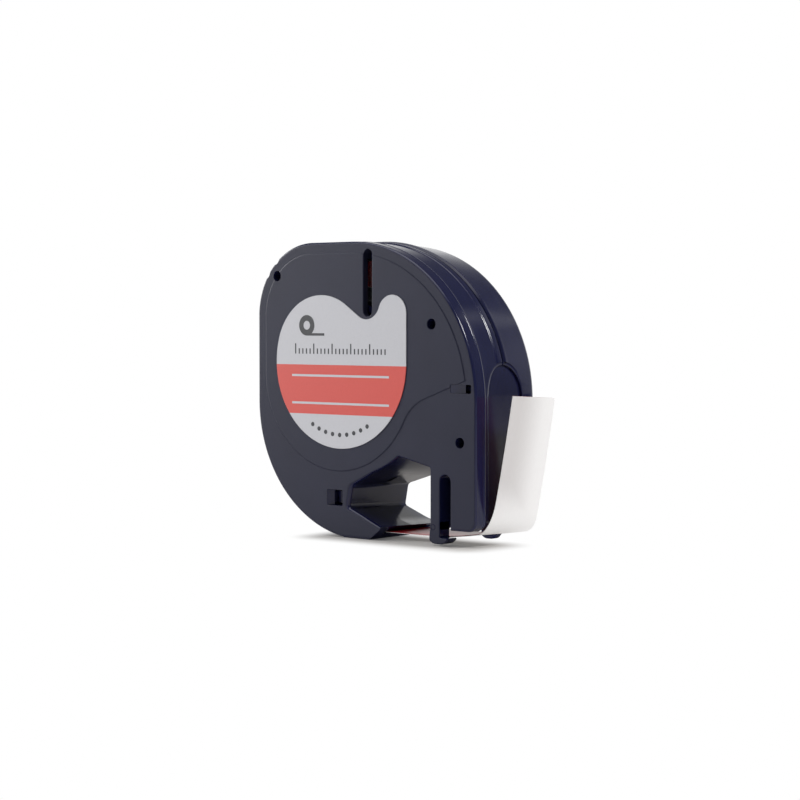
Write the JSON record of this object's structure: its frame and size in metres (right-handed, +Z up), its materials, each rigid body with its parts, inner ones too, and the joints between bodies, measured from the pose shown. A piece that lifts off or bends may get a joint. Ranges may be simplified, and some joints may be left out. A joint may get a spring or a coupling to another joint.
{
  "type": "label tape cassette",
  "caption": "Label tape cassette: split plastic case with a print-head opening and a window slot, round a wound roll that turns as the tape is pulled out.",
  "frame": {"origin": "centre of the bounding box in plan, at the level the cassette stands on", "axes": "+Z up, -Y out of the labelled front face, +X towards the tape exit"},
  "size_m": [0.0646, 0.0202, 0.0597],
  "materials": {
    "face_plastic": "fine moulded texture, semi-matt",
    "case_plastic": "smooth gloss",
    "label_film": "printed film, satin",
    "core_plastic": "moulded, matt",
    "tape_film": "coloured film, satin",
    "tape_liner": "release liner, satin",
    "slip_film": "thin clear film"
  },
  "bodies": {
    "case": {"front_cover": "face_plastic", "rear_shell": "case_plastic", "face_label": "label_film", "tape_feed": "tape_film"},
    "spool": {"tape_core": "core_plastic", "tape_roll": "tape_film", "front_slip_disc": "slip_film", "rear_slip_disc": "slip_film"},
    "roller": {"guide_roller": "core_plastic"},
    "free_tape": {"tape_strip": "tape_liner"}
  },
  "joints": [
    {"name": "spool_spin", "type": "hinge", "parent": "case", "child": "spool", "pos_m": [-0.00788, 0, 0.03535], "axis": [0, -1, 0], "range_deg": [0, 20.7]},
    {"name": "tape_pull", "type": "slide", "parent": "case", "child": "free_tape", "axis": [1, 0, 0], "range_m": [0, 0.0075]},
    {"name": "roller_turn", "type": "hinge", "parent": "case", "child": "roller", "pos_m": [-0.01693, 0, 0.0077], "axis": [0, -1, 0], "range_deg": [0, 195]}
  ],
  "couplings": [
    {"joint": "tape_pull", "follows": "spool_spin", "m_per_rad": 0.0207},
    {"joint": "roller_turn", "follows": "spool_spin", "ratio": 9.4091}
  ]
}
